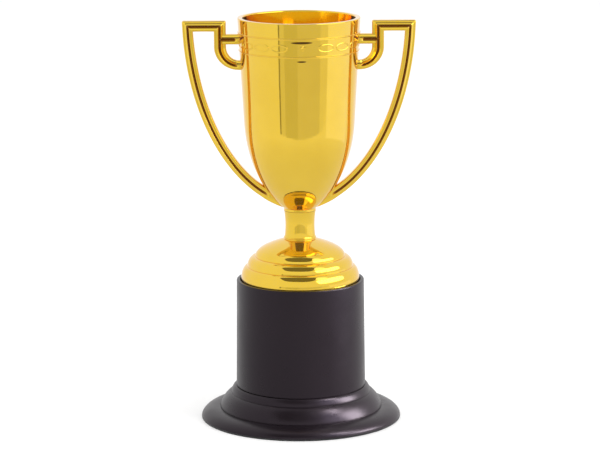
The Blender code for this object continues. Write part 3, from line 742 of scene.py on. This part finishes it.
def build_cup_foot(gold):
    ring_a, ring_a_top = 14.14 * MM, 51.76 * MM
    ring_b, ring_b_top = 16.67 * MM, 48.65 * MM
    neck, skirt_top = 5.1 * MM, 44.7 * MM
    boss, boss_foot = 4.6 * MM, 6.6 * MM
    crown = DOME_TOP - 2 * GOLD_WALL
    outline = [(BORE_RADIUS, DOME_TOP)]
    outline += bezier((neck, DOME_TOP), (neck + 4.81 * MM, DOME_TOP - 1.44 * MM),
                      (ring_a, ring_a_top + 2.39 * MM), (ring_a, ring_a_top), 40)
    outline += shoulder(ring_a, ring_a_top, ring_b, ring_b_top, 24)[1:]
    outline += shoulder(ring_b, ring_b_top, SKIRT_RADIUS, skirt_top, 24)[1:]
    inside = SKIRT_RADIUS - GOLD_WALL
    outline += [(SKIRT_RADIUS, SKIRT_BOTTOM), (inside, SKIRT_BOTTOM), (inside, skirt_top)]
    outline += [(ring_b - GOLD_WALL, ring_b_top - GOLD_WALL), (ring_a - GOLD_WALL, ring_a_top - GOLD_WALL)]
    outline += [(boss_foot, crown), (boss, crown), (boss, SKIRT_BOTTOM), (BORE_RADIUS, SKIRT_BOTTOM)]
    return turned("cup_foot_skin", outline, gold, ("cup_foot",))


# ---------------------------------------------------------------- plinth

def build_tube(black):
    rim, mouth, bore, ledge = 20.04 * MM, 18.94 * MM, 17.2 * MM, 38.2 * MM
    bottom = TUBE_BOTTOM - 0.28 * MM        # down to the flange it stands on
    outline = [(mouth, TUBE_TOP), (rim, TUBE_TOP), (TUBE_BASE_RADIUS, bottom), (bore, bottom), (bore, ledge),
               (mouth, ledge)]
    outline = rounded(outline, {0: 0.2 * MM, 1: 0.35 * MM, 2: 0.15 * MM})
    return turned("plinth_tube_skin", outline, black, ("plinth_tube",))


def build_plinth_foot(black):
    upper, upper_base = 22.0 * MM, 8.1 * MM
    lower, lower_base = 25.6 * MM, 3.4 * MM
    brim, top, wall = 31.55 * MM, 10.35 * MM, 2.0 * MM
    boss_radius, boss_bottom = 7.0 * MM, 6.6 * MM
    tube_radius = TUBE_BASE_RADIUS
    bottom = PAD_TOP + 0.01 * MM
    outline = [(BORE_RADIUS, FLANGE_TOP), (SPIGOT_RADIUS, FLANGE_TOP), (SPIGOT_RADIUS, top)]
    ledge = tube_radius + 0.3 * MM
    outline += [(tube_radius, top)] + shoulder(ledge, top - 0.02 * MM, upper, upper_base, 20, 1.5)
    outline += shoulder(upper, upper_base, lower, lower_base, 28, 1.4)[1:]
    brim_end = math.degrees(math.asin(bottom / lower_base))
    outline += shoulder(lower, lower_base, brim, 0.0, 32, end=brim_end)[1:]
    outline += [(lower + wall / 2, bottom), (lower - wall, lower_base), (upper - wall, upper_base - wall / 2)]
    outline += [(tube_radius - wall, upper_base), (boss_radius, upper_base), (boss_radius, boss_bottom),
                (BORE_RADIUS, boss_bottom)]
    return turned("plinth_foot_skin", outline, black, ("plinth_foot",))


def build_pad(felt):
    near_axis, edge = 0.5 * MM, 0.12 * MM
    outline = rounded([(near_axis, PAD_TOP), (PAD_RADIUS, PAD_TOP), (PAD_RADIUS, 0.0), (near_axis, 0.0)],
                      {1: edge, 2: edge})
    outline = [(0.0, PAD_TOP)] + outline[1:-1] + [(0.0, 0.0)]
    return disc("base_pad_skin", outline, felt, ("base_pad",))


def disc(name, outline, material, replaced=(), turns=TURNS):
    """A turned piece whose outline starts and ends on the axis."""
    ring = outline[1:-1]
    verts = [(0.0, 0.0, outline[0][1]), (0.0, 0.0, outline[-1][1])]
    for a in np.linspace(0.0, math.tau, turns, endpoint=False):
        verts += [(r * math.cos(a), r * math.sin(a), z) for r, z in ring]
    size = len(ring)
    faces = []
    for t in range(turns):
        here, there = 2 + t * size, 2 + ((t + 1) % turns) * size
        faces.append((0, here, there))
        faces.append((1, there + size - 1, here + size - 1))
        faces += [(here + i, here + i + 1, there + i + 1, there + i) for i in range(size - 1)]
    return new_piece(name, verts, faces, material, replaced)


# ---------------------------------------------------------------- hardware

def build_nut(name, steel):
    """A hexagonal nut with its corners chamfered on both faces."""
    lower, upper = low(name), high(name)
    flats = (upper[1] - lower[1]) / 2
    bore, countersink, countersink_depth = 2.05 * MM, 0.3 * MM, 0.25 * MM
    face = flats * 0.97
    longest = flats * 1.145
    slope = math.tan(math.radians(28.0))
    sides = 96
    middle = (lower[2] + upper[2]) / 2
    half = (upper[2] - lower[2]) / 2
    verts = []
    for turn in range(sides):
        angle = math.tau * turn / sides
        reach = min(flats / math.cos((angle % (math.pi / 3)) - math.pi / 6), longest)
        chamfer = (reach - face) * slope
        top = [(bore, half - countersink_depth), (bore + countersink, half), (face, half),
               (reach, half - chamfer)]
        ring = top + [(r, -z) for r, z in top[::-1]]
        verts += [(r * math.cos(angle), r * math.sin(angle), middle + z) for r, z in ring]
    faces = []
    count = len(ring)
    for turn in range(sides):
        here, there = turn * count, ((turn + 1) % sides) * count
        for i in range(count):
            j = (i + 1) % count
            faces.append((here + i, here + j, there + j, there + i))
    return new_piece(f"{name}_skin", verts, faces, steel, (name,), 20.0)


def build_washer(name, steel):
    lower, upper = low(name), high(name)
    hole, edge = 2.2 * MM, 0.15 * MM
    outline = [(hole, upper[2]), (upper[0], upper[2]), (upper[0], lower[2]), (hole, lower[2])]
    return turned(f"{name}_skin", rounded(outline, dict.fromkeys(range(4), edge)), steel, (name,), 96)


def build_rod(steel):
    """A stud with a rolled thread at each end."""
    lower, upper = low("tie_rod")[2], high("tie_rod")[2]
    pitch, crest, depth = 0.7 * MM, 2.0 * MM, 0.36 * MM
    thread, run_out = 9.0 * MM, 0.5 * MM
    point_length, point_slope = 0.4 * MM, 0.8
    step = pitch / 8
    rows = np.concatenate([np.arange(lower, lower + thread, step),
                           np.arange(upper - thread, upper, step), [upper]])
    turns = 32
    verts = [(0.0, 0.0, lower), (0.0, 0.0, upper)]
    for z in rows:
        end_gap = min(z - lower, upper - z)
        for turn in range(turns):
            share = turn / turns
            wave = abs(((z / pitch - share) % 1.0) * 2.0 - 1.0)
            blend = smooth((thread - end_gap) / run_out)
            radius = crest - depth * wave * blend - max(0.0, point_length - end_gap) * point_slope
            verts.append((radius * math.cos(math.tau * share), radius * math.sin(math.tau * share), z))
    faces = []
    last = 2 + (len(rows) - 1) * turns
    for turn in range(turns):
        ahead = (turn + 1) % turns
        faces.append((0, 2 + ahead, 2 + turn))
        faces.append((1, last + turn, last + ahead))
        for row in range(len(rows) - 1):
            base = 2 + row * turns
            faces.append((base + turn, base + ahead, base + turns + ahead, base + turns + turn))
    return new_piece("tie_rod_skin", verts, faces, steel, ("tie_rod",))


def build_plate(black):
    lower, upper = low("top_plate"), high("top_plate")
    spigot_top = 38.5 * MM
    outline = [(BORE_RADIUS, upper[2]), (upper[0], upper[2]), (upper[0], spigot_top),
               (SPIGOT_RADIUS, spigot_top), (SPIGOT_RADIUS, lower[2]), (BORE_RADIUS, lower[2])]
    return turned("top_plate_skin", rounded(outline, {1: 0.3 * MM, 4: 0.4 * MM}), black, ("top_plate",), 128)


# ---------------------------------------------------------------- studio

def floor_square(height):
    half = 6.0
    return [(-half, -half, height), (half, -half, height), (half, half, height), (-half, half, height)]


def build_floor():
    material, nodes, shader, place = principled("floor_paper", Roughness=0.75, Specular_IOR_Level=0.2)
    fibres = nodes.noise(place, 40.0, 3.0)
    colour = nodes.mix(fibres, (0.90, 0.90, 0.90, 1.0), (0.93, 0.93, 0.93, 1.0))
    nodes.tree.links.new(colour, shader.inputs["Base Color"])
    mesh = bpy.data.meshes.new("floor")
    mesh.from_pydata(floor_square(0.0), [], [(0, 1, 2, 3)])
    mesh.materials.append(material)
    floor = bpy.data.objects.new("floor", mesh)
    bpy.context.collection.objects.link(floor)
    floor.location.z = -0.1 * MM


def emission_card(name, corners, level, falloff=None):
    """A studio card that only shows in reflections. A falloff is (near radius, level there, far radius)."""
    material = bpy.data.materials.new(name)
    material.use_nodes = True
    nodes = Nodes(material)
    nodes.tree.nodes.clear()
    glow = nodes.add("ShaderNodeEmission", {"Color": (*level, 1.0)})
    if falloff:
        place = nodes.add("ShaderNodeTexCoord").outputs["Object"]
        distance = nodes.add("ShaderNodeVectorMath", {0: place}, operation="LENGTH").outputs["Value"]
        near, near_level, far = falloff
        nodes.tree.links.new(nodes.remap(distance, near, far, near_level, 1.0), glow.inputs["Strength"])
    nodes.add("ShaderNodeOutputMaterial", {"Surface": glow.outputs[0]})
    mesh = bpy.data.meshes.new(name)
    mesh.from_pydata(corners, [], [tuple(range(len(corners)))])
    mesh.materials.append(material)
    card = bpy.data.objects.new(name, mesh)
    bpy.context.collection.objects.link(card)
    card.visible_camera = False
    card.visible_diffuse = False
    card.visible_shadow = False
    card.visible_transmission = False


def polar(azimuth, reach, height):
    """A place on the floor at an azimuth in degrees, where 0 faces the camera and 90 is +X."""
    angle = math.radians(azimuth)
    return reach * math.sin(angle), -reach * math.cos(angle), height


def floor_card(name, left, right, near, far, level, height=0.002):
    """A wedge of the floor in front of the trophy, between two azimuths in degrees (0 faces the camera)."""
    corners = []
    for azimuth, reach in ((left, near), (right, near), (right, far), (left, far)):
        corners.append((reach * math.tan(math.radians(azimuth)), -reach, height))
    emission_card(name, corners, level)


def facing_card(name, azimuth, elevation, distance, width, height, level, squareness=0.35):
    """A card facing the trophy's middle; azimuth 0 is at the camera's side and turns towards +X."""
    centre = Vector((0.0, 0.0, TROPHY_MIDDLE))
    az, el = math.radians(azimuth), math.radians(elevation)
    direction = Vector((math.sin(az) * math.cos(el), -math.cos(az) * math.cos(el), math.sin(el)))
    right = Vector((math.cos(az), math.sin(az), 0.0))
    up = right.cross(-direction)
    if up.z < 0:
        up.negate()
    origin = centre + direction * distance
    corners = []
    for a in np.linspace(0.0, math.tau, 40, endpoint=False):
        u = math.copysign(abs(math.cos(a)) ** squareness, math.cos(a))
        v = math.copysign(abs(math.sin(a)) ** squareness, math.sin(a))
        corners.append(tuple(origin + right * u * width / 2 + up * v * height / 2))
    emission_card(name, corners, level)


def build_world():
    world = bpy.data.worlds.new("light_tent")
    bpy.context.scene.world = world
    world.use_nodes = True
    background = world.node_tree.nodes["Background"]
    background.inputs["Color"].default_value = (1.0, 1.0, 1.0, 1.0)
    background.inputs["Strength"].default_value = 1.0


def area_light(name, place, target, size, power):
    data = bpy.data.lights.new(name, "AREA")
    data.shape = "RECTANGLE"
    data.size, data.size_y = size
    data.energy = power
    light = bpy.data.objects.new(name, data)
    bpy.context.collection.objects.link(light)
    light.location = place
    light.rotation_euler = (Vector(target) - Vector(place)).to_track_quat("-Z", "Y").to_euler()
    return light


def build_studio(plinth):
    build_floor()
    build_world()
    key = area_light("key_softbox", (0.75, -0.45, 0.55), (0.0, 0.0, 0.07), (0.25, 0.35), 2.0)
    top = area_light("top_softbox", (0.0, 0.1, 1.1), (0.0, 0.0, 0.0), (0.9, 0.9), 4.0)
    for light in (key, top):
        light.visible_glossy = False
    strip = area_light("plinth_strip", polar(84.0, 0.8, 0.34), (0.0, 0.0, 0.03), (0.4, 0.55), 13.0)
    brim = area_light("brim_strip", polar(72.0, 0.35, 0.5), (0.0, 0.0, 0.01), (0.12, 0.2), 1.6)
    for light in (strip, brim):
        light.light_linking.receiver_collection = plinth
    facing_card("camera_opening", -3.0, 54.0, 0.9, 1.02, 0.92, (0.21, 0.203, 0.19), 0.6)
    facing_card("key_reflection", 66.0, 22.0, 1.0, 1.15, 0.5, (3.2, 3.2, 3.7), 0.5)
    facing_card("upper_key_reflection", 52.0, 46.0, 1.0, 0.42, 0.5, (1.7, 1.75, 2.3), 0.7)
    # The floor card is painted darker towards the middle, 0.86 within 0.09 m rising to full at 0.26 m: a
    # painted shadow of the trophy on the floor, seen only in reflections.
    emission_card("floor_reflection", floor_square(0.001), (1.0, 1.0, 1.0), (0.09, 0.86, 0.26))
    near, far = 0.235, 1.1
    floor_card("front_floor_border", -39.5, -37.0, near, far, (0.30, 0.30, 0.28))
    floor_card("front_floor_left", -37.0, -28.0, near, far, (0.82, 0.82, 0.80))
    floor_card("front_floor_middle", -28.0, -3.0, near, far, (0.70, 0.70, 0.62))
    floor_card("front_floor_right", -3.0, 41.0, near, far, (0.78, 0.78, 0.80))
    floor_card("front_floor_edge", 41.0, 56.0, near, far, (0.90, 0.90, 0.92))
    # The side floor card is a painted pool of light: the floor brighter under the right-hand lamps, seen only
    # in reflections.
    side = [polar(azimuth, 0.26, 0.0015) for azimuth in range(56, 113, 4)]
    side += [polar(azimuth, 1.6, 0.0015) for azimuth in range(112, 55, -4)]
    emission_card("side_floor", side, (1.12, 1.14, 1.45))


def build_camera():
    """The camera stands 0.84 m in front and looks down on the trophy by about eleven degrees."""
    place = (0.0, -0.841813, 0.228693)
    pitch, roll = math.radians(11.24), math.radians(0.318)
    data = bpy.data.cameras.new("camera")
    data.sensor_width = 36.0
    data.lens = 164.04
    data.clip_start = 0.05
    data.clip_end = 20.0
    camera = bpy.data.objects.new("camera", data)
    bpy.context.collection.objects.link(camera)
    camera.matrix_world = (Matrix.Translation(place)
                           @ Matrix.Rotation(math.pi / 2 - pitch, 4, "X") @ Matrix.Rotation(-roll, 4, "Z"))
    bpy.context.scene.camera = camera


def build_trophy():
    """All the pieces; returns the collection of the black ones, which the plinth's own lights shine on."""
    gold, black, steel, felt = gold_plating(), black_plastic(), zinc_steel(), black_felt()
    pieces = [build_bowl(gold), build_band(gold), build_handle(1, "handle_right", gold),
              build_handle(-1, "handle_left", gold), build_stem(gold), build_cup_foot(gold),
              build_tube(black), build_plinth_foot(black), build_pad(felt), build_plate(black),
              build_rod(steel)]
    for name in ("bowl_nut", "base_nut"):
        pieces.append(build_nut(name, steel))
    for name in ("bowl_washer", "base_washer"):
        pieces.append(build_washer(name, steel))
    plinth = bpy.data.collections.new("plinth")
    for piece in pieces:
        if piece.data.materials[0] == black:
            plinth.objects.link(piece)
    return plinth


build_studio(build_trophy())
build_camera()
bpy.context.scene.view_settings.view_transform = "Standard"
